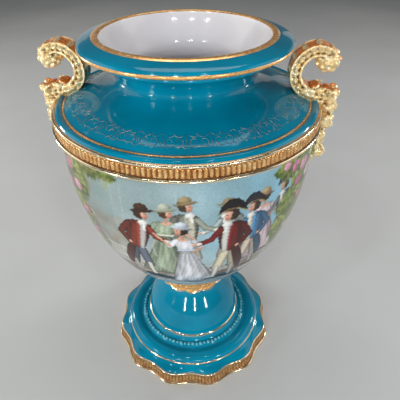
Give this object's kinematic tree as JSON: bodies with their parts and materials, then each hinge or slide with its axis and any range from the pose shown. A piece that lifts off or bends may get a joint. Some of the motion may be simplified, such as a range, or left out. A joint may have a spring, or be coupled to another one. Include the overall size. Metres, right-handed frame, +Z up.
{
  "type": "mantel urn",
  "caption": "Hollow footed porcelain urn with an everted rim, a fluted gilt band, a painted bowl, two gilded C-scroll leaf handles and a scalloped pedestal foot.",
  "frame": {"origin": "centre of the object's box on the surface it stands on", "axes": "+Z up along the urn's axis; the handles lie along +X and -X; the painted front faces -Y"},
  "size_m": [0.2302, 0.2074, 0.329],
  "materials": {
    "painted_glaze": "turquoise glaze with a painted scene and gilt lines",
    "turquoise_glaze": "glossy turquoise glaze with gilt lines",
    "gilding": "burnished gilding over porcelain"
  },
  "bodies": {
    "root": {"urn_body": "painted_glaze", "foot": "turquoise_glaze", "handle_right": "gilding", "handle_left": "gilding"}
  },
  "joints": []
}
